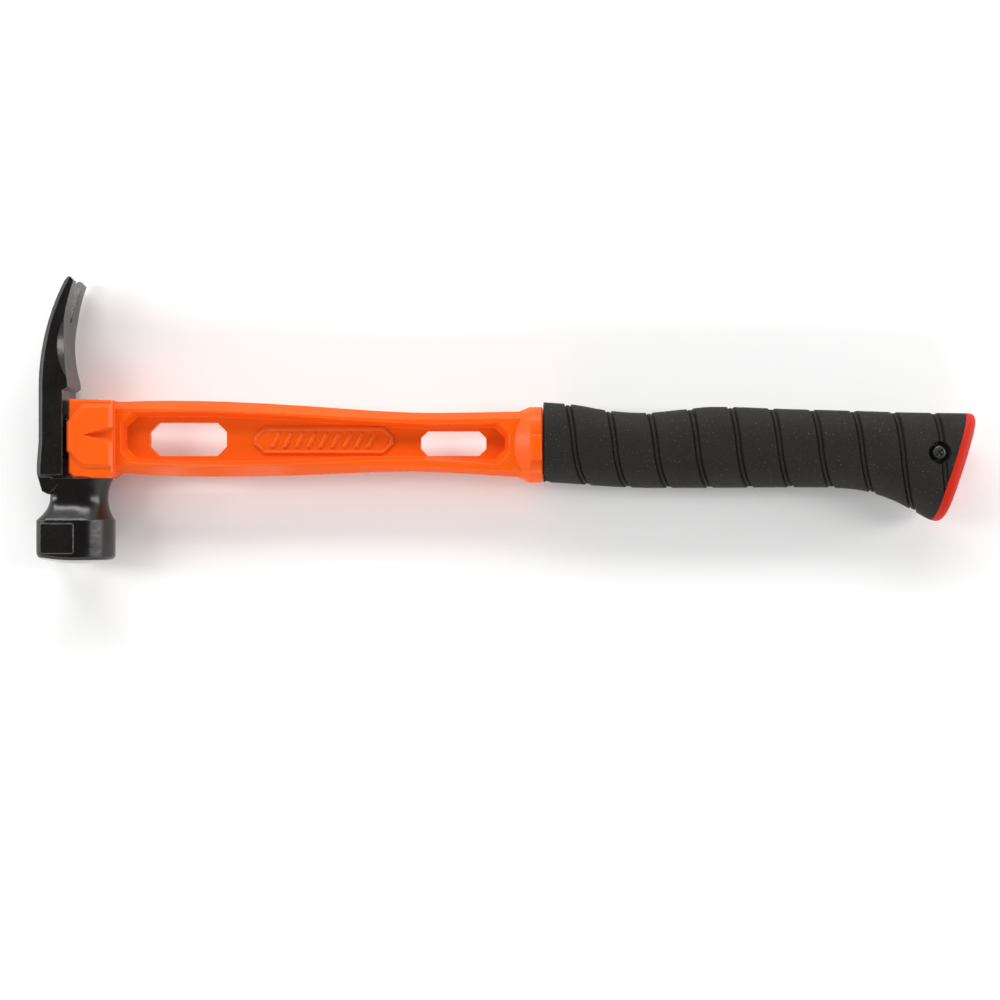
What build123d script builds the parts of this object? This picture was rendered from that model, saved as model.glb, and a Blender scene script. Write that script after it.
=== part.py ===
from build123d import *
from functools import cache
import math
import os

# Titanium-handled framing hammer with a bolt-on steel head and a screwed-on grip.
# Millimetres. The hammer lies on its side: +X runs from the head to the butt of the grip,
# +Y points to the claws and -Y to the striking face, +Z is up through the thickness.
# The pieces are drawn about the handle's axis, with X = 0 at the poll's outer flat and
# Z = 0 on the mid-plane, and are then moved so that the origin is under the middle of the
# whole hammer, on the surface that it lies on.

# ---- Fits and clearances ----
post_fit = 0.05          # sliding fit of the head's post in the handle's socket
pocket_fit = 0.02        # magnet in its pocket
bolt_clearance = 0.25    # round a screw that passes through a piece
tang_clearance = 0.15    # between the tang and the ribs of the grip's core
plug_fit = 0.12          # end cap's plug in the core
grip_gap = 0.4           # joint line between the handle's collar and the grip
lap = 2.0                # joined forms and cutters run this far past the face that they meet

# ---- Handle block, which the head seats on ----
plate_gap = 2.2          # open joint between the head's plate and the block
block_length = 19.1
block_above = 17.4       # block's top above the handle's axis
block_below = 16.8       # block's underside, on the head's seat
block_half = 11.5        # half of its thickness
block_fall = 0.6         # the top edge falls this much towards the shaft
block_corner = 2.2       # cut corner at the neck
block_heel = 2.4         # cut corner under the start of the shaft
block_edge = 0.8

# ---- Raised pad on each side of the block ----
pad_rise = 1.6
pad_overhang = 0.65      # the pad's nose stands past the block's front face
pad_nose_top = 7.3
pad_nose_low = -5.1
pad_slope = 6.9          # length of the pad's slanted corners along the handle
pad_top = 15.0
pad_low = -12.0
pad_bevel = 1.4
notch_tip = 6.0          # from the block's front face to the arrow's point
notch_centre = 1.7
notch_half = 4.7
notch_taper = 24.0
notch_floor = 0.6        # below the block's side

# ---- Shaft ----
shaft_length = 173.0     # from the block to the collar's flare
shaft_half = 7.5
shaft_edge = 3.0         # bevel on the flanges' outer corners
web_half = 1.6
flange = 4.9             # depth of each flange
pocket_slope = 1.7       # the pocket's walls lean in by this much
pocket_start = 2.6       # from the block to the pocket
pocket_end = 2.4         # from the pocket to the collar's flare
pocket_cut = 4.6         # slanted corners of the pocket
pocket_blend = 8.0       # no station of the shaft shapes the pocket nearer to its corners
# share of the shaft's length, height above the axis, depth below it
shaft_stations = [
    (0.00, 16.3, 14.3),
    (0.09, 16.8, 15.4),
    (0.28, 16.4, 16.0),
    (0.50, 14.3, 15.1),
    (0.78, 11.6, 13.9),
    (0.90, 11.8, 15.0),
    (1.00, 12.1, 16.1),
]

# ---- Windows through the web: start from the block, length, top, bottom, corner ----
front_window = (14.4, 33.3, 7.4, -7.0, 4.0)
rear_window = (132.2, 28.4, 3.7, -7.0, 3.0)
window_round = 0.8

# ---- Plain raised panel on the web, between the windows ----
panel_start = 60.0
panel_length = 60.0
panel_half = 5.6
panel_centre = -0.4
panel_rise = 0.7
panel_point = 4.0
panel_rim = 1.0
rib_count = 9
rib_rise = 0.5
rib_width = 1.6
rib_slant = 25.0
rib_margin = 2.0         # from the panel's edge to the ribs' ends
rib_bevel = 0.3

# ---- Collar ----
collar_flare = 6.4
collar_length = 5.8
collar_half = 12.0
collar_above = 14.2
collar_below = 18.7
collar_edge = 1.0
flare_inset = 1.5        # the flare starts inside the shaft by this much
tab_margin = 0.6         # collar left bare on each side of the tab
tab_top = 1.7
tab_low = -8.9
tab_rise = 0.7

# ---- Tang inside the grip ----
tang_half = 3.2
tang_top = 5.5
tang_low = -9.5
tang_end_top = -0.8
tang_overrun = 4.6       # past the grip screw
tang_end_gap = 1.5
tang_windows = 5
tang_window_length = 20.0
tang_rail = 3.6
tang_first_window = 8.0  # from the collar
tang_last_window = 12.0  # from the grip screw
tang_window_share = 0.75 # longest window, as a share of the windows' pitch

# ---- Head: plate and claws ----
plate_thickness = 10.5
plate_setback = 1.1      # the plate's outer face lies inside the poll's outer flat
plate_width = 27.0
plate_bevel = 1.8
shoulder_bulge = 0.8     # the outer face swells towards the neck
shoulder_swell_end = 16.0  # height above the seat where the swelling has died out
shoulder_corner = 1.4
shoulder_drop = 7.0      # shoulder's corner below the seat
shoulder_half = 11.6
shoulder_step = 1.5      # bevelled step where the plate narrows to the shoulder
claw_start = 22.0        # height where the outer face begins to curve
claw_reach = 69.9        # tips above the axis
claw_outer_radius = 102.0
claw_under_radius = 76.0
claw_under_low = 42.0    # height where the underside is thinnest
claw_under_depth = 10.7  # underside from the plate's outer face, at that height
tip_bevel = 1.8
tip_edge = 1.0
heel_height = 24.0
heel_depth = 12.7        # heel's edge from the plate's outer face
heel_step = 3.0
heel_bevel = 2.0
slot_root = 52.0
slot_root_radius = 1.3
slot_tip_half = 8.2
relief_height = 40.0     # hollow facets on the underside's long edges
relief_radius = 34.0
relief_depth = 1.7

# ---- Head: neck and poll ----
neck_length = 18.0
poll_length = 19.0
poll_depth = 31.6        # outer flat to the round side
poll_half = 15.85
poll_corner = 5.0
facet_rise = 0.4         # raised flat on each side of the poll
facet_margin = 1.3
facet_bevel = 0.4
facet_corner = 0.6
face_crown_radius = 64.0
face_rim = 1.0
face_lead = 2.0          # the outer flat leans in towards the face
face_lead_length = 6.4
# share of the neck's length from the seat, outer inset, round-side inset, half width
neck_stations = [
    (0.00, 4.2, 0.9, 12.2),
    (0.25, 4.7, 2.6, 11.0),
    (0.58, 4.7, 3.0, 10.8),
    (0.80, 3.2, 2.1, 12.8),
    (1.00, 0.3, 0.3, 15.5),
]
neck_corner = 4.2
groove_mouth = 5.8
groove_floor = 3.2
groove_depth = 1.6
groove_runout = 4.0      # past the poll's back edge
magnet_radius = 2.5
magnet_length = 4.0
magnet_height = 10.0     # from the face
magnet_sunk = 0.15

# ---- Head post and its lock screw ----
post_reach = 11.5        # into the block
post_height = 18.0
post_half = 6.6
post_centre = 1.0
post_corner = 2.5
lock_head_radius = 5.0
lock_head_length = 5.6
lock_shank_radius = 3.0
lock_thread = 7.0        # into the block, past the post
lock_sunk = 0.9
lock_hex = 5.0
lock_hex_depth = 3.0
lock_edge = 0.5

# ---- Grip ----
grip_axis_length = 179.6  # from its front face to the cap's joint, along the axis
overlay_wall = 2.6
core_wall = 2.0
cap_thickness = 5.0
cap_round = 1.6
butt_tilt = 17.7
plug_depth = 5.0
plug_wall = 1.8
cap_skin = 2.5           # least thickness over the cap's hollow
rib_thickness = 2.6
last_rib = 12.0          # from the grip screw
core_ribs = 6
# share of the grip's axis length, height above the axis, depth below it, half thickness
grip_stations = [
    (0.000, 16.4, 18.4, 12.8),
    (0.075, 15.3, 19.2, 12.7),
    (0.160, 12.7, 20.3, 12.5),
    (0.245, 11.8, 20.9, 12.4),
    (0.335, 13.2, 20.9, 12.5),
    (0.410, 14.4, 20.9, 12.6),
    (0.600, 13.4, 20.7, 12.6),
    (0.705, 12.9, 20.9, 12.6),
    (0.780, 12.5, 22.3, 12.6),
    (0.850, 12.1, 26.4, 12.7),
    (0.900, 11.9, 31.0, 12.8),
    (0.940, 11.8, 34.9, 12.9),
    (0.985, 11.7, 36.4, 12.9),
    (1.070, 11.6, 36.8, 12.9),
]
oval_power = 2.5         # 2 is an ellipse, more is squarer
oval_points = 16

# ---- Grip screw and its barrel nut ----
screw_from_cap = 9.5     # along the axis, from the cap's joint
screw_height = -5.8
counterbore_room = 1.8   # round the screw's head
counterbore_depth = 3.9
head_shoulder = 0.5      # the heads stand this far past the barrel, on their seats
screw_head_height = 2.2
screw_shank_radius = 1.75
crown_round = 1.0
screw_reach = 12.5       # below its head
barrel_radius = 2.6
barrel_length = 14.0
barrel_floor = 0.8       # solid end of the nut, under its head
boss_wall = 1.3          # round the counterbore
recess_length = 3.8
recess_width = 0.9
recess_depth = 1.1

# ---- Places worked out from the sizes above ----
plate_outer = plate_setback
plate_inner = plate_outer + plate_thickness
block_start = plate_inner + plate_gap
block_end = block_start + block_length
shaft_start = block_end
flare_start = shaft_start + shaft_length
collar_start = flare_start + collar_flare
collar_end = collar_start + collar_length
grip_start = collar_end + grip_gap
screw_head_radius = barrel_radius + head_shoulder
counterbore_radius = screw_head_radius + counterbore_room
boss_radius = counterbore_radius + boss_wall
cap_joint = grip_start + grip_axis_length
seat_y = -block_below
poll_back = seat_y - neck_length
face_y = poll_back - poll_length
screw_x = cap_joint - screw_from_cap
post_end = block_start + post_reach
beyond = 60.0            # longer than anything that a cutter has to pass through


def side_profile(points):
    """A face in the mid-plane through points given along and across the handle."""
    return make_face(Polyline(*points, close=True))


def both_ways(face, half):
    """The face made solid to the same distance on both sides of the mid-plane."""
    return extrude(face, half, both=True)


def level(height):
    """A drawing plane across the head at one height along the head."""
    return Plane(origin=(0, height, 0), x_dir=(1, 0, 0), z_dir=(0, 1, 0))


def across(x, y=0.0):
    """A drawing plane square to the handle, with its first axis towards the claws."""
    return Plane(origin=(x, y, 0), x_dir=(0, 1, 0), z_dir=(1, 0, 0))


def mirrored(shape):
    """The shape's twin on the other side of the mid-plane."""
    return mirror(shape, about=Plane.XY)


def octagon(low_x, high_x, low_y, high_y, corner):
    """A rectangle with cut corners."""
    return [
        (low_x + corner, low_y),
        (high_x - corner, low_y),
        (high_x, low_y + corner),
        (high_x, high_y - corner),
        (high_x - corner, high_y),
        (low_x + corner, high_y),
        (low_x, high_y - corner),
        (low_x, low_y + corner),
    ]


# ---- Head ----
def claw_outer_x(y):
    rise = y - claw_start
    return plate_outer + claw_outer_radius - math.sqrt(claw_outer_radius ** 2 - rise ** 2)


def claw_under_x(y):
    centre = plate_outer + claw_under_depth + claw_under_radius
    return centre - math.sqrt(claw_under_radius ** 2 - (y - claw_under_low) ** 2)


def plate_profile():
    """Side outline of the plate, its shoulder and the claws."""
    bevel_y = claw_reach - tip_bevel
    middle = (claw_start + bevel_y) / 2
    tip_middle = (claw_outer_x(bevel_y) + claw_under_x(bevel_y)) / 2
    outer = ThreePointArc(
        (plate_outer, claw_start),
        (claw_outer_x(middle), middle),
        (claw_outer_x(bevel_y), bevel_y),
    )
    tip = Polyline(
        (claw_outer_x(bevel_y), bevel_y),
        (tip_middle - tip_edge / 2, claw_reach),
        (tip_middle + tip_edge / 2, claw_reach),
        (claw_under_x(bevel_y), bevel_y),
    )
    heel_top = heel_height + heel_bevel
    under_middle = (bevel_y + heel_top) / 2
    under = ThreePointArc(
        (claw_under_x(bevel_y), bevel_y),
        (claw_under_x(under_middle), under_middle),
        (claw_under_x(heel_top), heel_top),
    )
    shoulder_y = seat_y - shoulder_drop
    rest = Polyline(
        (claw_under_x(heel_top), heel_top),
        (plate_outer + heel_depth, heel_height),
        (plate_outer + heel_depth, heel_height - heel_step / 2),
        (plate_inner, heel_height - heel_step),
        (plate_inner, seat_y),
        (neck_stations[0][1] + 1, shoulder_y),
        (plate_outer + shoulder_corner, shoulder_y + shoulder_corner),
        (plate_outer - shoulder_bulge, seat_y + shoulder_swell_end / 8),
        (plate_outer - shoulder_bulge, seat_y + shoulder_swell_end * 3 / 8),
        (plate_outer, seat_y + shoulder_swell_end),
        (plate_outer, claw_start),
    )
    return make_face(Curve() + [outer, tip, under, rest])


def on_outer_face(edge, half):
    """True for the long edges between the outer face and a side of the plate."""
    middle = edge.center()
    if abs(abs(middle.Z) - half) > 0.01:
        return False
    if edge @ 0 == edge @ 1:
        return False
    if middle.Y > claw_start:
        return abs(middle.X - claw_outer_x(middle.Y)) < 2.5 and middle.Y < claw_reach - 3
    return middle.X < plate_outer + 1.0 and middle.Y > seat_y - 2


def claw_slot():
    """The nail slot between the claws, a wedge with a round root."""
    root = (slot_root, slot_root_radius)
    mouth_y = claw_reach + lap
    grow = (slot_tip_half - slot_root_radius) / (claw_reach - slot_root)
    mouth = slot_tip_half + grow * lap
    wedge = make_face(
        Polyline(root, (mouth_y, mouth), (mouth_y, -mouth), (slot_root, -slot_root_radius), close=True)
    )
    shape = wedge + Pos(slot_root, 0) * Circle(slot_root_radius)
    return extrude(across(-lap) * shape, beyond)


def claw_relief(side):
    """Cutter for the hollow facet on one long edge of the claws' underside."""
    edge = Vector(claw_under_x(relief_height), relief_height, side * plate_width / 2)
    outward = Vector(1, 0, side).normalized()
    centre = edge + outward * (relief_radius - relief_depth)
    plane = Plane(origin=centre, x_dir=(0, 1, 0), z_dir=(1, 0, -side))
    return extrude(plane * Circle(relief_radius), beyond / 2, both=True)


def head_plate():
    plate = both_ways(plate_profile(), plate_width / 2)
    long_edges = plate.edges().filter_by(lambda edge: on_outer_face(edge, plate_width / 2))
    plate = chamfer(long_edges, plate_bevel)
    waist = Box(beyond, 2 * shoulder_drop, beyond, align=(Align.CENTER, Align.MAX, Align.CENTER))
    waist = Pos(0, seat_y + shoulder_step, 0) * waist
    core = Box(2 * beyond, 2 * beyond, 2 * shoulder_half)
    lean = chamfer((waist - core).edges().filter_by(Axis.X).group_by(Axis.Y)[-1], 0.8 * shoulder_step)
    plate = plate - lean
    plate = plate - claw_relief(1) - claw_relief(-1)
    plate = plate - claw_slot()
    return plate


def horseshoe(height, outer, inner, half, corner):
    """Section of the poll and the neck: flat outside, straight sides, round towards the handle."""
    flat = half - corner
    diagonal = corner * math.sqrt(0.5)
    round_start = inner - half
    lines = Curve() + [
        Line((outer, -flat), (outer, flat)),
        ThreePointArc(
            (outer, flat),
            (outer + corner - diagonal, flat + diagonal),
            (outer + corner, half),
        ),
        Line((outer + corner, half), (round_start, half)),
        ThreePointArc((round_start, half), (inner, 0), (round_start, -half)),
        Line((round_start, -half), (outer + corner, -half)),
        ThreePointArc(
            (outer + corner, -half),
            (outer + corner - diagonal, -flat - diagonal),
            (outer, -flat),
        ),
    ]
    return level(height) * make_face(lines)


def neck():
    sections = []
    for share, outer, inner, half in neck_stations:
        height = seat_y - share * neck_length
        sections.append(horseshoe(height, outer, poll_depth - inner, half, neck_corner))
    return loft(sections)


def poll_facet():
    """Raised flat on the near side of the poll."""
    low_x = poll_corner / 2
    high_x = poll_depth - poll_half + facet_margin
    low_y = face_y + face_lead_length / 2 + facet_margin
    high_y = poll_back - facet_margin
    plate = both_ways(side_profile(octagon(low_x, high_x, low_y, high_y, facet_corner)), poll_half + facet_rise)
    rims = plate.edges().group_by(Axis.Z)
    return chamfer(rims[0] + rims[-1], facet_bevel)


def poll():
    back = horseshoe(poll_back, 0, poll_depth, poll_half, poll_corner)
    body = extrude(back, -poll_length)
    ball_y = face_y + face_crown_radius
    body = body & Pos(poll_depth / 2, ball_y, 0) * Sphere(face_crown_radius)
    body = chamfer(body.faces().sort_by(Axis.Y)[0].edges(), face_rim)
    body = body + poll_facet()
    lead = side_profile(
        [
            (-lap, face_y + face_lead_length),
            (0, face_y + face_lead_length),
            (face_lead, face_y),
            (face_lead, face_y - lap),
            (-lap, face_y - lap),
        ]
    )
    return body - both_ways(lead, beyond)


def nail_groove():
    """Groove in the poll's outer flat that holds a nail on its way to the first blow."""
    mouth = groove_mouth / 2
    floor = groove_floor / 2
    flare = (mouth - floor) / groove_depth * lap
    flat = make_face(
        Polyline(
            (-lap, -mouth - flare),
            (groove_depth, -floor),
            (groove_depth, floor),
            (-lap, mouth + flare),
            close=True,
        )
    )
    return extrude(level(face_y - lap) * flat, lap + poll_length + groove_runout)


def magnet_hole(radius, length):
    """Cylinder along X that starts just under the groove's floor."""
    plane = across(groove_depth + magnet_sunk, face_y + magnet_height)
    return extrude(plane * Circle(radius), length)


def post(clearance=0.0):
    """Post on the plate's inner face, or the socket for it."""
    size = (post_height + 2 * clearance, 2 * post_half + 2 * clearance)
    section = across(plate_inner - lap, post_centre) * RectangleRounded(*size, post_corner)
    return extrude(section, post_end - plate_inner + lap)


def along_handle(radius, start, length, height):
    """Cylinder along X on the mid-plane."""
    return extrude(across(start, height) * Circle(radius), length)


def head():
    steel = head_plate() + neck() + poll() + post()
    steel = steel - nail_groove()
    steel = steel - magnet_hole(magnet_radius + pocket_fit, magnet_length)
    head_room = lock_head_radius + bolt_clearance
    seat = plate_outer + lock_sunk + lock_head_length
    steel = steel - along_handle(head_room, -lap, lap + seat, post_centre)
    steel = steel - along_handle(lock_shank_radius + bolt_clearance, 0, beyond, post_centre)
    return steel


def nail_magnet():
    return magnet_hole(magnet_radius, magnet_length)


def head_lock_screw():
    top = plate_outer + lock_sunk
    under = top + lock_head_length
    cap = along_handle(lock_head_radius, top, lock_head_length, post_centre)
    cap = chamfer(cap.faces().sort_by(Axis.X)[0].edges(), lock_edge)
    reach = post_end + lock_thread - under
    shank = along_handle(lock_shank_radius, under, reach, post_centre)
    shank = chamfer(shank.faces().sort_by(Axis.X)[-1].edges(), lock_edge)
    hexagon = RegularPolygon(lock_hex / 2, 6, major_radius=False)
    return cap + shank - extrude(across(top, post_centre) * hexagon, lock_hex_depth)


# ---- Handle ----
def handle_block():
    front = block_start
    outline = [
        (front, -block_below + block_corner),
        (front, block_above),
        (block_end, block_above - block_fall),
        (block_end, block_heel - block_below),
        (block_end - block_heel, -block_below),
        (front + block_corner, -block_below),
    ]
    block = both_ways(side_profile(outline), block_half)
    rims = block.edges().group_by(Axis.Z)
    return chamfer(rims[0] + rims[-1], block_edge)


def block_pad():
    nose = block_start - pad_overhang
    outline = [
        (nose, pad_nose_low),
        (nose, pad_nose_top),
        (nose + pad_slope, pad_top),
        (block_end, pad_top),
        (block_end, pad_low),
        (nose + pad_slope, pad_low),
    ]
    pad = both_ways(side_profile(outline), block_half + pad_rise)
    rims = pad.edges().group_by(Axis.Z)
    return chamfer(rims[0] + rims[-1], pad_bevel)


def arrow_notch():
    """Arrow-shaped recess in the near pad, open towards the shaft."""
    tip = block_start + notch_tip
    outline = [
        (tip, notch_centre),
        (block_end + lap, notch_centre + notch_half),
        (block_end + lap, notch_centre - notch_half),
    ]
    top = Plane.XY.offset(block_half + pad_rise) * side_profile(outline)
    return extrude(top, -pad_rise - notch_floor, taper=notch_taper)


def shaft_outline():
    """The shaft's side outline, from inside the block to the start of the collar."""
    xs = [shaft_start + share * shaft_length for share, _, _ in shaft_stations]
    top = [(x, station[1]) for x, station in zip(xs, shaft_stations)]
    low = [(x, -station[2]) for x, station in zip(xs, shaft_stations)]
    inside = shaft_start - lap - block_heel
    end = collar_start
    return make_face(
        Curve()
        + [
            Spline(*top),
            Polyline(top[-1], (end, top[-1][1]), (end, low[-1][1]), low[-1]),
            Spline(*low),
            Polyline(low[0], (inside, low[0][1]), (inside, top[0][1]), top[0]),
        ]
    )


def edge_height(share, column):
    """Height of the shaft's outline at a share of its length, between two stations."""
    for left, right in zip(shaft_stations, shaft_stations[1:]):
        if share <= right[0]:
            part = (share - left[0]) / (right[0] - left[0])
            return left[column] + part * (right[column] - left[column])
    return shaft_stations[-1][column]


def pocket_outline(inset):
    """Outline of the shaft's side pocket, drawn in by inset from its rim."""
    margin = flange + inset
    start = shaft_start + pocket_start + inset
    end = flare_start - pocket_end - inset
    first = start + pocket_cut
    last = end - pocket_cut
    inner = [
        station
        for station in shaft_stations
        if first + pocket_blend < shaft_start + station[0] * shaft_length < last - pocket_blend
    ]
    top = [(first, edge_height((first - shaft_start) / shaft_length, 1) - margin)]
    low = [(first, margin - edge_height((first - shaft_start) / shaft_length, 2))]
    for share, above, below in inner:
        top.append((shaft_start + share * shaft_length, above - margin))
        low.append((shaft_start + share * shaft_length, margin - below))
    top.append((last, edge_height((last - shaft_start) / shaft_length, 1) - margin))
    low.append((last, margin - edge_height((last - shaft_start) / shaft_length, 2)))
    return make_face(
        Curve()
        + [
            Spline(*top),
            Polyline(
                top[-1],
                (end, top[-1][1] - pocket_cut),
                (end, low[-1][1] + pocket_cut),
                low[-1],
            ),
            Spline(*low),
            Polyline(
                low[0],
                (start, low[0][1] + pocket_cut),
                (start, top[0][1] - pocket_cut),
                top[0],
            ),
        ]
    )


def shaft_pocket():
    """Cutter for the near side's pocket, with walls that lean in towards the web."""
    slope = pocket_slope / (shaft_half - web_half)
    rim = Plane.XY.offset(shaft_half + lap) * pocket_outline(-lap * slope)
    floor = Plane.XY.offset(web_half) * pocket_outline(pocket_slope)
    return loft([rim, floor], ruled=True)


def window(start, length, top, low, corner):
    """Opening right through the web."""
    left = shaft_start + start
    outline = side_profile(octagon(left, left + length, low, top, corner))
    outline = fillet(outline.vertices(), window_round)
    return both_ways(outline, beyond)


def web_panel():
    """Plain raised panel on the near side of the web, with a row of slanted ribs."""
    left = shaft_start + panel_start
    right = left + panel_length
    low = panel_centre - panel_half
    high = panel_centre + panel_half
    outline = octagon(left, right, low, high, panel_point)
    inner = octagon(
        left + panel_rim, right - panel_rim, low + panel_rim, high - panel_rim, panel_point - panel_rim / 2
    )
    plate = extrude(side_profile(outline), web_half + panel_rise)
    well_floor = web_half + panel_rise / 2
    plate = plate - extrude(Plane.XY.offset(well_floor) * side_profile(inner), panel_rise)
    pitch = (panel_length - 2 * panel_point) / (rib_count + 1)
    for number in range(rib_count):
        x = left + panel_point + (number + 1) * pitch
        rib = Box(
            rib_width,
            2 * (panel_half - rib_margin),
            well_floor + rib_rise,
            align=(Align.CENTER, Align.CENTER, Align.MIN),
        )
        rib = chamfer(rib.edges().group_by(Axis.Z)[-1], rib_bevel)
        plate = plate + Pos(x, panel_centre, 0) * Rot(0, 0, -rib_slant) * rib
    return plate


def oval(x, top, low, half):
    """Squarish oval across the handle, between two heights."""
    points = []
    for number in range(oval_points):
        angle = 2 * math.pi * number / oval_points
        c = math.cos(angle)
        s = math.sin(angle)
        points.append(
            (
                math.copysign(abs(c) ** (2 / oval_power), c) * (top - low) / 2,
                math.copysign(abs(s) ** (2 / oval_power), s) * half,
            )
        )
    return across(x, (top + low) / 2) * make_face(Spline(*points, periodic=True))


def collar():
    _, above, below = shaft_stations[-1]
    small = oval(flare_start - lap, above - flare_inset, flare_inset - below, shaft_half - flare_inset)
    large = oval(collar_start, collar_above, -collar_below, collar_half)
    flare = loft([small, large], ruled=True)
    ring = extrude(large, collar_length)
    ring = fillet(ring.faces().sort_by(Axis.X)[-1].edges(), collar_edge)
    tab = Box(collar_length - 2 * tab_margin, tab_top - tab_low, 2 * (collar_half + tab_rise))
    tab = chamfer(tab.edges().group_by(Axis.Z)[0] + tab.edges().group_by(Axis.Z)[-1], tab_rise / 2)
    tab = Pos(collar_start + collar_length / 2, (tab_top + tab_low) / 2, 0) * tab
    return flare + ring + tab


def tang_outline(clearance=0.0):
    end = screw_x + tang_overrun
    return [
        (collar_end - lap, tang_low - clearance),
        (collar_end - lap, tang_top + clearance),
        (end - tang_end_gap, tang_end_top + clearance),
        (end + clearance, tang_end_top - tang_end_gap),
        (end + clearance, tang_low + tang_end_gap),
        (end - tang_end_gap, tang_low - clearance),
    ]


def tang_top_at(x):
    share = (x - collar_end) / (screw_x + tang_overrun - collar_end)
    return tang_top + share * (tang_end_top - tang_top)


def tang():
    bar = both_ways(side_profile(tang_outline()), tang_half)
    start = collar_end + tang_first_window
    room = screw_x - tang_last_window - start
    pitch = room / tang_windows
    long = min(tang_window_length, tang_window_share * pitch)
    for number in range(tang_windows):
        left = start + number * pitch + (pitch - long) / 2
        high = tang_top_at(left + long) - tang_rail
        low = tang_low + tang_rail
        hole = side_profile(octagon(left, left + long, low, high, (high - low) / 4))
        bar = bar - both_ways(hole, beyond)
    return bar


def cross_hole(radius, low, high):
    """Cylinder along Z through the grip screw's axis."""
    return Pos(screw_x, screw_height, low) * Cylinder(
        radius, high - low, align=(Align.CENTER, Align.CENTER, Align.MIN)
    )


def handle():
    shaft = both_ways(shaft_outline(), shaft_half)
    long_edges = shaft.edges().filter_by(lambda e: abs(abs(e.center().Z) - shaft_half) < 0.01)
    long_edges = long_edges.filter_by(lambda e: e.length > shaft_length / 2)
    shaft = chamfer(long_edges, shaft_edge)
    pocket = shaft_pocket()
    shaft = shaft - pocket - mirrored(pocket)
    panel = web_panel()
    shaft = shaft + panel + mirrored(panel)
    shaft = shaft - window(*front_window) - window(*rear_window)
    block = handle_block() + block_pad()
    notch = arrow_notch()
    block = block - notch - mirrored(notch)
    body = shaft + block + collar() + tang()
    body = body - post(post_fit)
    body = body - along_handle(lock_shank_radius, 0, post_end + lock_thread + lap, post_centre)
    return body - cross_hole(barrel_radius + bolt_clearance / 2, -beyond, beyond)


# ---- Grip ----
@cache
def grip_body(inset):
    """The grip's whole outer form, drawn in by inset."""
    sections = []
    for share, above, below, half in grip_stations:
        x = grip_start + share * grip_axis_length
        sections.append(oval(x, above - inset, inset - below, half - inset))
    return loft(sections)


def butt_plane(offset):
    """Slanted plane of the cap's joint, moved outward by offset."""
    tilt = math.radians(butt_tilt)
    outward = Vector(math.cos(tilt), -math.sin(tilt), 0)
    return Plane(origin=Vector(cap_joint, 0, 0) + outward * offset, z_dir=outward)


def before(shape, offset):
    return split(shape, bisect_by=butt_plane(offset), keep=Keep.BOTTOM)


def after(shape, offset):
    return split(shape, bisect_by=butt_plane(offset), keep=Keep.TOP)


def half_thickness_at_screw():
    return grip_stations[-3][3]


def seat_z():
    """Height of the screw's and the nut's seats from the mid-plane."""
    return half_thickness_at_screw() - counterbore_depth


def counterbores(radius):
    near = cross_hole(radius, seat_z(), beyond)
    return near + mirrored(near)


def grip_overlay():
    outside = before(grip_body(0), 0)
    sleeve = outside - grip_body(overlay_wall)
    return sleeve - counterbores(counterbore_radius)


def grip_core():
    outside = before(grip_body(overlay_wall), 0)
    shell = outside - grip_body(overlay_wall + core_wall)
    frames = []
    room = screw_x - grip_start - last_rib
    for number in range(core_ribs):
        x = grip_start + rib_thickness / 2 + number * room / (core_ribs - 1)
        frames.append(Pos(x, 0, 0) * Box(rib_thickness, 2 * beyond, beyond))
    slabs = Part() + frames
    boss = cross_hole(boss_radius, -beyond / 2, beyond / 2)
    inside = grip_body(overlay_wall + core_wall / 2)
    ribs = before(inside, 0) & (slabs + boss)
    core = shell + ribs
    slot = both_ways(side_profile(tang_outline(tang_clearance)), tang_half + tang_clearance)
    core = core - slot
    core = core - cross_hole(barrel_radius + bolt_clearance / 2, -beyond, beyond)
    return core - counterbores(counterbore_radius)


def end_cap():
    slab = before(after(grip_body(0), 0), cap_thickness)
    joint = butt_plane(0)
    rim = slab.faces().filter_by(GeomType.PLANE).sort_by(Axis(joint.origin, joint.z_dir))[-1]
    slab = fillet(rim.edges(), cap_round)
    wall = overlay_wall + core_wall + plug_fit
    plug = after(before(grip_body(wall), cap_thickness - cap_skin), -plug_depth)
    plug = plug - cross_hole(boss_radius + plug_fit, -beyond, beyond)
    hollow = before(grip_body(wall + plug_wall), cap_thickness - cap_skin)
    return slab + plug - hollow


def cross_recess(top):
    """Cutter for a cross recess in a head whose crown is at top."""
    bar = Box(recess_length, recess_width, 2 * recess_depth)
    cross = Rot(0, 0, 45) * bar + Rot(0, 0, 135) * bar
    return Pos(screw_x, screw_height, top) * cross


def pan_head():
    base = seat_z()
    disc = cross_hole(screw_head_radius, base, base + screw_head_height)
    disc = fillet(disc.edges().group_by(Axis.Z)[-1], crown_round)
    return disc - cross_recess(base + screw_head_height)


def grip_screw():
    return pan_head() + cross_hole(screw_shank_radius, seat_z() - screw_reach, seat_z())


def grip_nut():
    barrel = cross_hole(barrel_radius, -seat_z(), barrel_length - seat_z())
    bore = cross_hole(screw_shank_radius, barrel_floor - seat_z(), beyond)
    return mirrored(pan_head()) + (barrel - bore)


pieces = {
    "head": head,
    "nail_magnet": nail_magnet,
    "handle": handle,
    "head_lock_screw": head_lock_screw,
    "grip_core": grip_core,
    "grip_overlay": grip_overlay,
    "end_cap": end_cap,
    "grip_screw": grip_screw,
    "grip_nut": grip_nut,
}

os.makedirs("parts", exist_ok=True)
solids = {}
for name, make in pieces.items():
    solids[name] = make()
    print(name, round(solids[name].volume / 1000, 2), "cm3", solids[name].is_valid)

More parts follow.
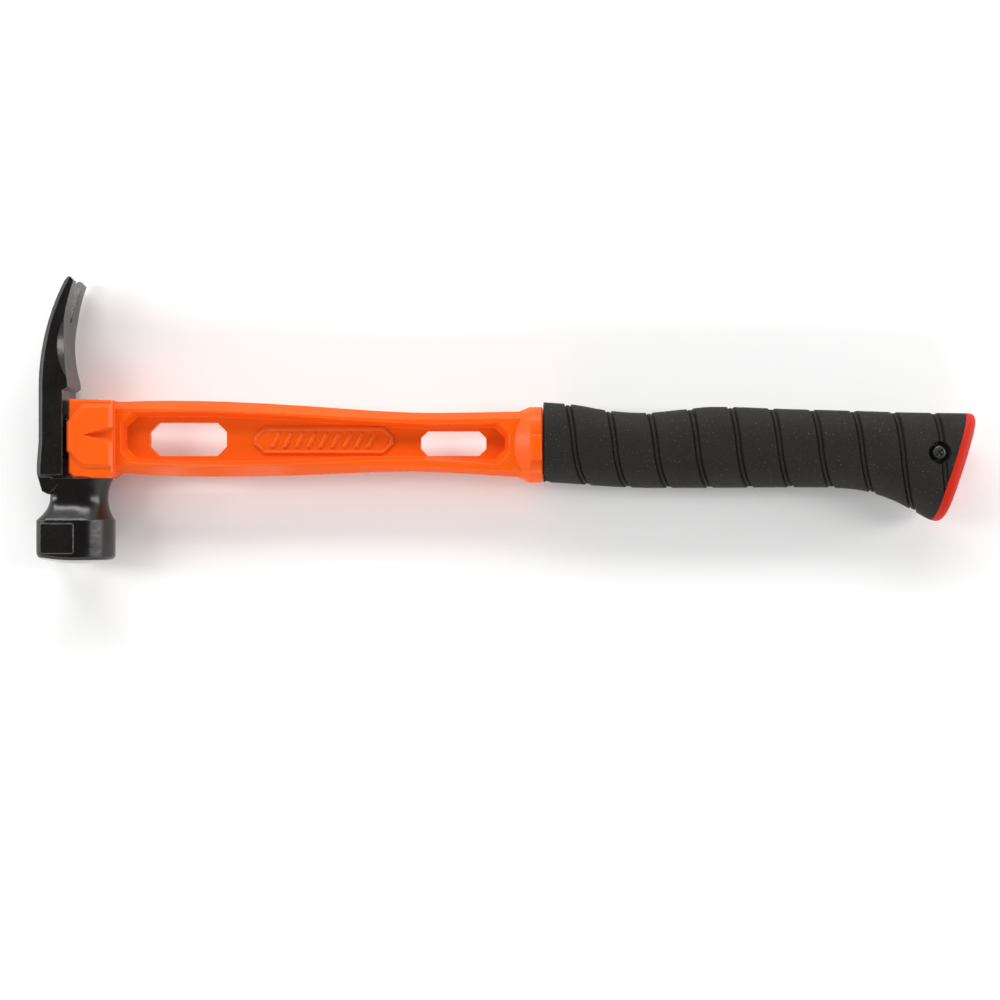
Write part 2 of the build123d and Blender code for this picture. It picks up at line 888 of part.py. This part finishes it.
whole = Compound(children=[piece.solids()[0] for piece in solids.values()]).bounding_box()
shift = Pos(-whole.center().X, -whole.center().Y, -whole.min.Z)
print("size", whole.size, "shift", shift.position)
for name, piece in solids.items():
    export_step(shift * piece, f"parts/{name}.step")
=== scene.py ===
import math

import bmesh
import bpy
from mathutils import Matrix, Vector


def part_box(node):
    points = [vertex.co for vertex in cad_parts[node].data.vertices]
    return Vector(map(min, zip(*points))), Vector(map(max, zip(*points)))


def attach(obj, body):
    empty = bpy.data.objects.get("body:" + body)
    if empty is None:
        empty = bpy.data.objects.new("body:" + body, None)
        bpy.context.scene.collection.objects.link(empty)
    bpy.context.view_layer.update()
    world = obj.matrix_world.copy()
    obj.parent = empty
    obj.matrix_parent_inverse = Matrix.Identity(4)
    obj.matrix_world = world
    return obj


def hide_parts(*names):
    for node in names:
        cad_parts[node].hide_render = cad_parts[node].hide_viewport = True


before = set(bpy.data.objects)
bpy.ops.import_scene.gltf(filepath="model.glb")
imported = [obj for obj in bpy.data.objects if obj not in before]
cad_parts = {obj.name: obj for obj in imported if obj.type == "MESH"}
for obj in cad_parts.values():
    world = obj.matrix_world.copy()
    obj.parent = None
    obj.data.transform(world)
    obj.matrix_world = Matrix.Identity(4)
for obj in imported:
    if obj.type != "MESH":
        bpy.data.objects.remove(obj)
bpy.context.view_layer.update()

# Metres, in the frame of the CAD model: +X from the head to the butt, +Y towards the claws,
# +Z up through the hammer's thickness, with the floor at Z = 0.
MM = 0.001

# ---- Places read from the frame ----
BLOCK_TOP = 17.4 * MM            # the handle's highest point stands this far above its axis

head_low, head_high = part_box("head")
_, handle_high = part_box("handle")
overlay_low, overlay_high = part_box("grip_overlay")
screw_low, screw_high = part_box("grip_screw")
middle_z = (head_low.z + head_high.z) / 2
axis_y = handle_high.y - BLOCK_TOP
grip_x = overlay_low.x
screw_x = (screw_low.x + screw_high.x) / 2
screw_y = (screw_low.y + screw_high.y) / 2


# ================= Shader maths =================
BEVEL_SAMPLES = 6
EDGE_START = 0.02                # how far a rounded normal has turned where an edge starts to show
EDGE_FULL = 0.22                 # and where it shows in full
MIX_FIRST = 6                    # the colour sockets of a Mix node, by number
MIX_SECOND = 7
MIX_RESULT = 2


class Wire:
    """A number on its way through a material; arithmetic on it adds Math nodes."""

    def __init__(self, finish, socket):
        self.finish = finish
        self.socket = socket

    def __add__(self, other):
        return self.finish.math("ADD", self, other)

    __radd__ = __add__

    def __sub__(self, other):
        return self.finish.math("SUBTRACT", self, other)

    def __rsub__(self, other):
        return self.finish.math("SUBTRACT", other, self)

    def __mul__(self, other):
        return self.finish.math("MULTIPLY", self, other)


class Finish:
    """A material being made: its nodes, and the one shader that they feed."""

    def __init__(self, name, **constants):
        self.material = bpy.data.materials.new(name)
        self.material.use_nodes = True
        self.tree = self.material.node_tree
        self.tree.nodes.clear()
        self.shader = self.add("ShaderNodeBsdfPrincipled", {}, constants)
        output = self.add("ShaderNodeOutputMaterial", {}, {})
        self.tree.links.new(self.shader.outputs["BSDF"], output.inputs["Surface"])
        self.place = self.get("ShaderNodeTexCoord", {}, {}, "Object")

    def add(self, kind, settings, inputs):
        """A node of one type, with its settings and then the values or links of its sockets."""
        node = self.tree.nodes.new(kind)
        for name, value in settings.items():
            setattr(node, name, value)
        for name, value in inputs.items():
            self.feed(node.inputs[name], value)
        return node

    def feed(self, socket, value):
        if isinstance(value, Wire):
            self.tree.links.new(value.socket, socket)
        elif socket.type == "RGBA" and len(value) == 3:
            socket.default_value = (*value, 1)
        else:
            socket.default_value = value

    def get(self, kind, settings, inputs, output):
        return Wire(self, self.add(kind, settings, inputs).outputs[output])

    def math(self, operation, *values):
        inputs = dict(enumerate(values))
        return self.get("ShaderNodeMath", {"operation": operation}, inputs, "Value")

    def vector_math(self, operation, first, second, output):
        inputs = {0: first, 1: second}
        return self.get("ShaderNodeVectorMath", {"operation": operation}, inputs, output)

    def set(self, **inputs):
        """Feeds the shader's own sockets; underscores stand for spaces."""
        for name, value in inputs.items():
            self.feed(self.shader.inputs[name.replace("_", " ")], value)

    def scaled(self, scale):
        """The place on the piece, stretched by a factor for each axis."""
        return self.vector_math("MULTIPLY", self.place, scale, "Vector")

    def noise(self, size, detail, place=None):
        """Cloudy pattern from 0 to 1 whose blotches are about size metres across."""
        inputs = {"Vector": place or self.place, "Scale": 1 / size, "Detail": detail}
        return self.get("ShaderNodeTexNoise", {}, inputs, "Fac")

    def smooth(self, value, low, high):
        """0 below low, 1 above high, and an easy slope between them."""
        settings = {"interpolation_type": "SMOOTHSTEP"}
        inputs = {"Value": value, "From Min": low, "From Max": high}
        return self.get("ShaderNodeMapRange", settings, inputs, "Result")

    def mix(self, factor, first, second):
        """A colour between two colours."""
        inputs = {0: factor, MIX_FIRST: first, MIX_SECOND: second}
        return self.get("ShaderNodeMix", {"data_type": "RGBA"}, inputs, MIX_RESULT)

    def part(self, vector, axis):
        return self.get("ShaderNodeSeparateXYZ", {}, {"Vector": vector}, axis)

    def facing(self, direction):
        """How far the surface faces a direction, from -1 to 1."""
        normal = self.get("ShaderNodeNewGeometry", {}, {}, "Normal")
        return self.vector_math("DOT_PRODUCT", normal, direction, "Value")

    def rounded(self, radius):
        """The surface's normal with its edges rounded off."""
        return self.get("ShaderNodeBevel", {"samples": BEVEL_SAMPLES}, {"Radius": radius}, "Normal")

    def edges(self, radius):
        """1 along edges and 0 on faces, from how far a rounded normal turns away."""
        return self.smooth(1 - self.facing(self.rounded(radius)), EDGE_START, EDGE_FULL)

    def bump(self, height, distance, strength, normal=None):
        inputs = {"Height": height, "Distance": distance, "Strength": strength}
        if normal is not None:
            inputs["Normal"] = normal
        return self.get("ShaderNodeBump", {}, inputs, "Normal")


# ================= Finishes =================
# Each pair of colours is the darker and the paler end of one finish.
OXIDE = (0.0035, 0.003, 0.0028), (0.0085, 0.0075, 0.007)
OXIDE_GRAIN = (0.050, 0.046, 0.044)
OXIDE_RUBBED = (0.30, 0.285, 0.27)
BRUSHED_STEEL = (0.40, 0.39, 0.38), (0.66, 0.65, 0.635)
ORANGE = (0.82, 0.090, 0.0005), (0.90, 0.110, 0.001)
# Paler orange painted along the handle's edges as a painted highlight.
ORANGE_PAINTED_GLINT = (1.0, 0.33, 0.13)
ORANGE_SCUFF = (0.62, 0.075, 0.01)
RUBBER = (0.0070, 0.0057, 0.0047), (0.0138, 0.0117, 0.0098)
RUBBER_SPECK = (0.075, 0.070, 0.062)
RED = (0.47, 0.0105, 0.0005), (0.57, 0.017, 0.001)
# Brighter red painted along the cap's edges as a painted highlight.
RED_PAINTED_HIGHLIGHT = (0.82, 0.085, 0.012)
NYLON = (0.020, 0.019, 0.018), (0.034, 0.032, 0.030)
SCREW_BLACK = (0.050, 0.048, 0.047), (0.150, 0.146, 0.142)
# Pale grey for screw edges: partly rubbed wear, partly a painted highlight.
SCREW_WEAR_AND_GLINT = (0.45, 0.44, 0.42)
NICKEL = (0.46, 0.45, 0.43), (0.66, 0.65, 0.62)
FLOOR_WHITE = (0.955, 0.955, 0.95), (0.975, 0.975, 0.97)

FACE_DEPTH = 2.6 * MM            # bare steel reaches this far back from the crown
BRUSHED = (90, 2600, 2600)       # streaks per metre along each axis
SCRATCHED = (700, 4200, 900)


def black_oxide_steel():
    """Blackened forging: satin, lightly rubbed on its edges, brushed bare on the striking face."""
    made = Finish("black_oxide_steel")
    grain = made.noise(0.7 * MM, detail=4)
    cloud = made.noise(9 * MM, detail=3)
    streak = made.noise(1.0, detail=4, place=made.scaled(BRUSHED))
    edge = made.edges(0.55 * MM)
    rubbed = edge * made.smooth(made.noise(2.5 * MM, detail=4), low=0.35, high=0.75)
    y = made.part(made.place, "Y")
    near_face = made.smooth(head_low.y + FACE_DEPTH - y, low=-0.1 * MM, high=0.2 * MM)
    bare = near_face * made.smooth(made.facing((0, -1, 0)), low=0.80, high=0.86)
    black = made.mix(cloud, *OXIDE)
    black = made.mix(made.smooth(grain, low=0.58, high=0.74) * 0.25, black, OXIDE_GRAIN)
    black = made.mix(rubbed * 0.6, black, OXIDE_RUBBED)
    steel = made.mix(streak, *BRUSHED_STEEL)
    roughness = 0.14 + cloud * 0.14 + grain * 0.05 - rubbed * 0.03
    made.set(
        Base_Color=made.mix(bare, black, steel),
        Metallic=rubbed * 0.4 * (1 - bare) + bare,
        Roughness=roughness * (1 - bare) + (0.26 + streak * 0.16) * bare,
    )
    dents = made.noise(3.2 * MM, detail=2)
    relief = (grain * 0.08 + dents * 0.9 + cloud) * (1 - bare) + streak * bare * 0.08
    soft = made.rounded(0.4 * MM)
    made.set(Normal=made.bump(relief, distance=0.16 * MM, strength=0.5, normal=soft))
    return made.material


def orange_powder_coat():
    """Glossy orange powder coat with a fine orange peel, painted a little paler on its edges as a
    painted highlight.
    """
    made = Finish("orange_powder_coat", **{"Coat Roughness": 0.12, "Specular IOR Level": 0.2})
    peel = made.noise(1.5 * MM, detail=2)
    cast = made.noise(5.5 * MM, detail=3)
    cloud = made.noise(28 * MM, detail=2)
    edge = made.edges(0.6 * MM)
    orange = made.mix(cloud, *ORANGE)
    # Painted highlight: edges mixed towards a paler orange, standing in for glints on the ridges.
    orange = made.mix(edge * 0.55, orange, ORANGE_PAINTED_GLINT)
    scuff = made.smooth(made.noise(1.1 * MM, detail=5), low=0.66, high=0.74) * edge
    orange = made.mix(scuff * 0.5, orange, ORANGE_SCUFF)
    made.set(
        Base_Color=orange,
        Roughness=0.42 + cast * 0.14,
        Coat_Weight=0.08 + cloud * 0.12,
    )
    relief = peel * 0.4 + cast * 0.6
    soft = made.rounded(0.5 * MM)
    made.set(Normal=made.bump(relief, distance=0.12 * MM, strength=0.35, normal=soft))
    return made.material


def grip_rubber():
    """Matte moulded rubber: fine grain, tiny pale specks, a little polished on the swells."""
    made = Finish("grip_rubber", **{"Specular IOR Level": 0.3})
    grain = made.noise(0.45 * MM, detail=3)
    cloud = made.noise(14 * MM, detail=3)
    speck = made.smooth(made.noise(0.8 * MM, detail=2), low=0.64, high=0.72)
    rubber = made.mix(cloud, *RUBBER)
    rubber = made.mix(speck * 0.6, rubber, RUBBER_SPECK)
    made.set(Base_Color=rubber, Roughness=0.66 + grain * 0.16 - cloud * 0.08)
    made.set(Normal=made.bump(grain + cloud * 2.0, distance=0.12 * MM, strength=0.6))
    return made.material


def cap_plastic():
    """Semi-matte red plastic with a fine spark-eroded texture."""
    made = Finish("cap_plastic", **{"Specular IOR Level": 0.25})
    spark = made.noise(0.5 * MM, detail=3)
    cloud = made.noise(11 * MM, detail=2)
    edge = made.edges(0.8 * MM)
    red = made.mix(cloud, *RED)
    # Painted highlight: the cap's edges mixed towards a brighter red.
    red = made.mix(edge * 0.40, red, RED_PAINTED_HIGHLIGHT)
    made.set(Base_Color=red, Roughness=0.50 + spark * 0.16)
    made.set(Normal=made.bump(spark, distance=0.05 * MM, strength=0.35))
    return made.material


def core_plastic():
    """Moulded nylon under the rubber, seen only round the screw heads."""
    made = Finish("core_plastic")
    spark = made.noise(0.6 * MM, detail=2)
    made.set(Base_Color=made.mix(spark, *NYLON), Roughness=0.55 + spark * 0.15)
    made.set(Normal=made.bump(spark, distance=0.04 * MM, strength=0.4))
    return made.material


def blackened_screw():
    """Black-plated screw steel, painted brighter along its edges and round its recess, partly as rubbed
    wear and partly as a painted highlight.
    """
    made = Finish("screw_black")
    cloud = made.noise(1.2 * MM, detail=3)
    edge = made.edges(0.22 * MM)
    black = made.mix(cloud, *SCREW_BLACK)
    made.set(
        # Edges mixed towards pale grey: partly rubbed wear, partly a painted highlight on the rims.
        Base_Color=made.mix(edge * (0.45 + cloud * 0.4), black, SCREW_WEAR_AND_GLINT),
        Metallic=0.8 + edge * 0.15,
        Roughness=0.30 + cloud * 0.14,
    )
    soft = made.rounded(0.12 * MM)
    made.set(Normal=made.bump(cloud, distance=0.04 * MM, strength=0.4, normal=soft))
    return made.material


def magnet_nickel():
    """Nickel plating, lightly scratched."""
    made = Finish("magnet_nickel")
    scratch = made.noise(1.0, detail=4, place=made.scaled(SCRATCHED))
    made.set(
        Base_Color=made.mix(scratch, *NICKEL),
        Metallic=0.9 + scratch * 0.1,
        Roughness=0.20 + scratch * 0.2,
    )
    made.set(Normal=made.bump(scratch, distance=0.02 * MM, strength=0.5))
    return made.material


def pale_floor():
    made = Finish("pale_floor")
    mottle = made.noise(50 * MM, detail=2)
    made.set(Base_Color=made.mix(mottle, *FLOOR_WHITE), Roughness=0.85 + mottle * 0.05)
    return made.material


# ================= Making meshes =================
SMOOTH_ANGLE = math.radians(35)  # sharper edges than this stay sharp
CUT_TOLERANCE = 1e-7
CUTTER_POINTS = 64               # points round a cutter


def close_skin(form, rings):
    """Joins rings of points into one closed skin."""
    count = len(rings[0])
    for near, far in zip(rings, rings[1:]):
        for step in range(count):
            after = (step + 1) % count
            form.faces.new((near[step], far[step], far[after], near[after]))
    form.faces.new(list(reversed(rings[0])))
    form.faces.new(rings[-1])


def slice_off(form, point, outward):
    """Cuts away what lies past a plane and closes the cut."""
    geometry = form.verts[:] + form.edges[:] + form.faces[:]
    cut = bmesh.ops.bisect_plane(
        form, geom=geometry, plane_co=point, plane_no=outward, clear_outer=True, dist=CUT_TOLERANCE
    )
    edges = [item for item in cut["geom_cut"] if isinstance(item, bmesh.types.BMEdge)]
    bmesh.ops.holes_fill(form, edges=edges, sides=0)


def plain_mesh(form, name):
    """An object in the scene with the form's faces, all facing outward."""
    bmesh.ops.recalc_face_normals(form, faces=form.faces[:])
    mesh = bpy.data.meshes.new(name)
    form.to_mesh(mesh)
    form.free()
    piece = bpy.data.objects.new(name, mesh)
    bpy.context.scene.collection.objects.link(piece)
    return piece


def shade_smooth(mesh):
    for polygon in mesh.polygons:
        polygon.use_smooth = True
    mesh.set_sharp_from_angle(angle=SMOOTH_ANGLE)


def finished_mesh(form, name, material):
    piece = plain_mesh(form, name)
    piece.data.materials.append(material)
    shade_smooth(piece.data)
    return piece


def drum(radius, low, high, x, y):
    """A closed upright cylinder used as a cutter."""
    form = bmesh.new()
    rings = []
    for z in (low, high):
        ring = []
        for step in range(CUTTER_POINTS):
            angle = 2 * math.pi * step / CUTTER_POINTS
            ring.append(form.verts.new((x + radius * math.cos(angle), y + radius * math.sin(angle), z)))
        rings.append(ring)
    close_skin(form, rings)
    return form


def carve(piece, cutter_form):
    """Takes a cutter away from the piece; the cutter is then thrown away."""
    cutter = plain_mesh(cutter_form, "cutter")
    change = piece.modifiers.new("carve", "BOOLEAN")
    change.operation = "DIFFERENCE"
    change.solver = "EXACT"
    change.object = cutter
    with bpy.context.temp_override(object=piece, active_object=piece):
        bpy.ops.object.modifier_apply(modifier=change.name)
    bpy.data.objects.remove(cutter)


# ================= Grip: outer form =================
# Share of the grip's length from its front face; then, in millimetres, height above the axis,
# depth below it and half thickness.
GRIP_STATIONS = [
    (-0.030, 16.8, 18.0, 12.8),
    (0.000, 16.4, 18.4, 12.8),
    (0.075, 15.3, 19.2, 12.7),
    (0.160, 12.7, 20.3, 12.5),
    (0.245, 11.8, 20.9, 12.4),
    (0.335, 13.2, 20.9, 12.5),
    (0.410, 14.4, 20.9, 12.6),
    (0.600, 13.4, 20.7, 12.6),
    (0.705, 12.9, 20.9, 12.6),
    (0.780, 12.5, 22.3, 12.6),
    (0.850, 12.1, 26.4, 12.7),
    (0.900, 11.9, 31.0, 12.8),
    (0.940, 11.8, 34.9, 12.9),
    (0.985, 11.7, 36.4, 12.9),
    (1.070, 11.6, 36.8, 12.9),
    (1.150, 11.5, 37.0, 12.9),
]
GRIP_LENGTH = 179.6 * MM         # along the axis, to the cap's joint
OVAL_POWER = 2.5
BUTT_TILT = math.radians(17.7)

butt_out = Vector((math.cos(BUTT_TILT), -math.sin(BUTT_TILT), 0))
joint_point = Vector((grip_x + GRIP_LENGTH, axis_y, middle_z))


def station_value(share, column):
    """One of the grip's measures at a share of its length, on a smooth curve through the stations."""
    last = len(GRIP_STATIONS) - 2
    index = 1
    while index < last - 1 and share > GRIP_STATIONS[index + 1][0]:
        index += 1
    before, left, right, after = GRIP_STATIONS[index - 1 : index + 3]
    span = right[0] - left[0]
    part = (share - left[0]) / span
    slope_left = (right[column] - before[column]) / (right[0] - before[0]) * span
    slope_right = (after[column] - left[column]) / (after[0] - left[0]) * span
    square, cube = part * part, part * part * part
    return (
        (2 * cube - 3 * square + 1) * left[column]
        + (cube - 2 * square + part) * slope_left
        + (3 * square - 2 * cube) * right[column]
        + (cube - square) * slope_right
    )


def grip_point(x, turn, inset):
    """A point inset from the grip's form: turn goes from 0 on the claws' side, over the top, to 1."""
    share = (x - grip_x) / GRIP_LENGTH
    above, below, half = (station_value(share, column) * MM for column in (1, 2, 3))
    angle = 2 * math.pi * turn
    c, s = math.cos(angle), math.sin(angle)
    tall = (above + below) / 2 - inset
    wide = half - inset
    y = axis_y + (above - below) / 2 + math.copysign(abs(c) ** (2 / OVAL_POWER), c) * tall
    z = middle_z + math.copysign(abs(s) ** (2 / OVAL_POWER), s) * wide
    return Vector((x, y, z))


# ================= Grip: rubber sleeve with its spiral grooves =================
PITCH = 17.7 * MM
FIRST_PITCH = -2                 # the spiral starts two pitches before its first groove
FIRST_GROOVE = 10.4 * MM         # from the front face, on the claws' side
RING_POINTS = 120                # points round the grip
LEAN = 0.7                       # how much the groove straightens on the claws' side
GROOVE_DEPTH = 0.5 * MM
GROOVE_EDGE = 1.75 * MM          # half the groove's width
GROOVE_SLOPE = 0.45 * MM         # width of its sloping side
GROOVE_REACH = GROOVE_EDGE + 0.5 * MM    # the skin is plain past this
LINE_DEPTH = 0.65 * MM           # the two thin lines, below the groove's floor
LINE_OFFSET = 1.05 * MM
LINE_WIDTH = 0.34 * MM
# Rows of points across the groove and the band beside it, in millimetres from the groove's middle.
LINE_STEPS = [-2.3, -1.95, -1.75, -1.6, -1.42, -1.28, -1.16, -1.05, -0.94, -0.82, -0.66, -0.4, 0.0]
BAND_STEPS = [-8.0, -6.9, -5.8, -4.7, -3.8, -3.0]

OVERLAY_WALL = 2.6 * MM
SPARE = 20 * MM                  # how much longer than the grip its skins are
INNER_LEAD = 4 * MM              # how far ahead of the grip the inside starts
INNER_RINGS = 60
COUNTERBORE = 4.9 * MM           # radius
DRUM_SPARE = 10 * MM             # how far a cutter stands clear of the grip
JOINT_GAP = 0.05 * MM            # between the sleeve and the cap


def groove_shift(turn):
    """How far along the grip the groove has moved, in pitches, at a share of one turn."""
    return turn - LEAN * math.sin(2 * math.pi * turn) / (2 * math.pi)


def groove_depth(offset):
    """Depth of the groove at a distance from its middle."""
    distance = abs(offset)
    if distance > GROOVE_REACH:
        return 0.0
    ease = min(1.0, max(0.0, (GROOVE_EDGE - distance) / GROOVE_SLOPE))
    floor_depth = GROOVE_DEPTH * ease * ease * (3 - 2 * ease)
    line = LINE_DEPTH * math.exp(-(((distance - LINE_OFFSET) / LINE_WIDTH) ** 2))
    return floor_depth + line


def sleeve_form():
    """Helical skin of the grip, longer than the grip at both ends."""
    half = BAND_STEPS + LINE_STEPS
    offsets = [step * MM for step in half + [-step for step in reversed(half[:-1])]]
    last_pitch = math.ceil((GRIP_LENGTH + SPARE) / PITCH) + 1
    form = bmesh.new()
    rings = []
    for pitch_number in range(FIRST_PITCH, last_pitch):
        middle = grip_x + FIRST_GROOVE + pitch_number * PITCH
        for offset in offsets:
            depth = groove_depth(offset)
            ring = []
            for step in range(RING_POINTS):
                turn = step / RING_POINTS
                along = middle + offset + PITCH * groove_shift(turn)
                ring.append(form.verts.new(grip_point(along, turn, depth)))
            rings.append(ring)
    # After a full turn the spiral is one pitch further on, so a ring joins the one a pitch ahead.
    pitch_rings = len(offsets)
    for index in range(len(rings) - 1):
        near, far = rings[index], rings[index + 1]
        for step in range(RING_POINTS - 1):
            form.faces.new((near[step], far[step], far[step + 1], near[step + 1]))
        ahead = index + pitch_rings
        if ahead + 1 < len(rings):
            form.faces.new((near[-1], far[-1], rings[ahead + 1][0], rings[ahead][0]))
    return form


def inner_form():
    """The sleeve's inside, a little longer than the sleeve."""
    form = bmesh.new()
    rings = []
    for index in range(INNER_RINGS + 1):
        x = grip_x - INNER_LEAD + (GRIP_LENGTH + SPARE) * index / INNER_RINGS
        turns = [step / CUTTER_POINTS for step in range(CUTTER_POINTS)]
        rings.append([form.verts.new(grip_point(x, turn, OVERLAY_WALL)) for turn in turns])
    close_skin(form, rings)
    return form


def rubber_sleeve(material):
    form = sleeve_form()
    slice_off(form, Vector((grip_x, axis_y, middle_z)), Vector((-1, 0, 0)))
    slice_off(form, joint_point - butt_out * JOINT_GAP, butt_out)
    sleeve = finished_mesh(form, "grip_sleeve", material)
    carve(sleeve, drum(COUNTERBORE, middle_z, overlay_high.z + DRUM_SPARE, screw_x, screw_y))
    carve(sleeve, drum(COUNTERBORE, overlay_low.z - DRUM_SPARE, middle_z, screw_x, screw_y))
    carve(sleeve, inner_form())
    shade_smooth(sleeve.data)
    return sleeve


# ================= Grip: red butt cap =================
CAP_THICKNESS = 5.0 * MM
CAP_ROUND = 3.6 * MM
CAP_ROUND_STEPS = 8
CAP_POINTS = 128                 # points round the cap
SLANT_TRIES = 12                 # steps that bring a point into the slanted plane
# The cap's edge at the joint: how far out from the joint, and how far inside the grip's form.
CAP_LIP = [(0.0, 0.35 * MM), (0.12 * MM, 0.08 * MM), (0.3 * MM, 0.0)]


def cap_ring(form, offset, inset):
    """A ring of points on the grip's form, in the cap's slanted plane moved outward by offset."""
    ring = []
    target = joint_point + butt_out * offset
    for step in range(CAP_POINTS):
        turn = step / CAP_POINTS
        x = target.x
        for _ in range(SLANT_TRIES):
            point = grip_point(x, turn, inset)
            x -= (point - target).dot(butt_out) / butt_out.x
        ring.append(form.verts.new(grip_point(x, turn, inset)))
    return ring


def butt_cap(material):
    form = bmesh.new()
    straight = CAP_THICKNESS - CAP_ROUND
    levels = CAP_LIP + [(straight, 0.0)]
    for step in range(1, CAP_ROUND_STEPS + 1):
        angle = math.pi / 2 * step / CAP_ROUND_STEPS
        levels.append((straight + CAP_ROUND * math.sin(angle), CAP_ROUND * (1 - math.cos(angle))))
    close_skin(form, [cap_ring(form, offset, inset) for offset, inset in levels])
    return finished_mesh(form, "butt_cap", material)


# ================= Floor, light and camera =================
FLOOR_REACH = 3.0
HORIZON_GLOW = 1.25              # the surround is bright low down and dim overhead
ZENITH_GLOW = 0.07
ZENITH_START = 0.68              # how steeply upward a direction points where it is dim

# Name, place, length and width, and power in watts; each one points at the frame's origin.
LIGHTS = [
    ("claw_side_bank", (-0.15, 0.95, 0.62), (1.5, 0.28), 12),
    ("butt_side_bank", (0.95, 0.1, 0.42), (0.28, 1.0), 6),
    ("face_side_bank", (-0.1, -0.95, 0.52), (1.5, 0.2), 6),
    ("head_side_strip", (-0.95, 0.1, 0.55), (0.22, 0.9), 5),
]

VIEW_DISTANCE = 0.850            # from the mid-plane
VIEW_WIDTH = 0.436               # what the view spans on the mid-plane
VIEW_ALONG = 199.5 * MM          # from the head's flat outer side to the view's middle
VIEW_ASIDE = 26.2 * MM           # from the handle's axis, away from the claws
SENSOR = 36.0


def floor():
    form = bmesh.new()
    far = FLOOR_REACH
    corners = [(-far, -far), (far, -far), (far, far), (-far, far)]
    form.faces.new([form.verts.new((x, y, 0)) for x, y in corners])
    piece = finished_mesh(form, "floor", pale_floor())


def soft_light(name, place, size, power):
    lamp = bpy.data.lights.new(name, "AREA")
    lamp.shape = "RECTANGLE"
    lamp.size, lamp.size_y = size
    lamp.energy = power
    holder = bpy.data.objects.new(name, lamp)
    bpy.context.scene.collection.objects.link(holder)
    holder.location = place
    holder.rotation_mode = "QUATERNION"
    holder.rotation_quaternion = (-Vector(place)).to_track_quat("-Z", "Y")


def studio():
    bpy.context.scene.view_settings.view_transform = "Standard"
    world = bpy.data.worlds.new("studio")
    bpy.context.scene.world = world
    world.use_nodes = True
    tree = world.node_tree
    background = tree.nodes["Background"]
    background.inputs["Color"].default_value = (1, 1, 1, 1)
    place = tree.nodes.new("ShaderNodeTexCoord")
    height = tree.nodes.new("ShaderNodeSeparateXYZ")
    fade = tree.nodes.new("ShaderNodeMapRange")
    fade.interpolation_type = "SMOOTHSTEP"
    for name, value in (
        ("From Min", 0.0),
        ("From Max", ZENITH_START),
        ("To Min", HORIZON_GLOW),
        ("To Max", ZENITH_GLOW),
    ):
        fade.inputs[name].default_value = value
    tree.links.new(place.outputs["Generated"], height.inputs["Vector"])
    tree.links.new(height.outputs["Z"], fade.inputs["Value"])
    tree.links.new(fade.outputs["Result"], background.inputs["Strength"])
    for light in LIGHTS:
        soft_light(*light)


def camera():
    lens = bpy.data.cameras.new("view")
    lens.sensor_width = SENSOR
    lens.lens = SENSOR * VIEW_DISTANCE / VIEW_WIDTH
    holder = bpy.data.objects.new("view", lens)
    bpy.context.scene.collection.objects.link(holder)
    holder.location = (head_low.x + VIEW_ALONG, axis_y - VIEW_ASIDE, middle_z + VIEW_DISTANCE)
    bpy.context.scene.camera = holder


# ================= The hammer =================
def dress(node, material):
    """Gives a CAD node a better finish than its plain one."""
    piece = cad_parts[node]
    for holder in piece.material_slots:
        holder.material = material


rubber = grip_rubber()
red = cap_plastic()
screws = blackened_screw()
dress("head", black_oxide_steel())
dress("handle", orange_powder_coat())
dress("grip_core", core_plastic())
dress("nail_magnet", magnet_nickel())
for fastener in ("head_lock_screw", "grip_screw", "grip_nut"):
    dress(fastener, screws)

sleeve = rubber_sleeve(rubber)
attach(sleeve, "root")
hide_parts("grip_overlay")

cap = butt_cap(red)
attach(cap, "root")
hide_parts("end_cap")

floor()
studio()
camera()
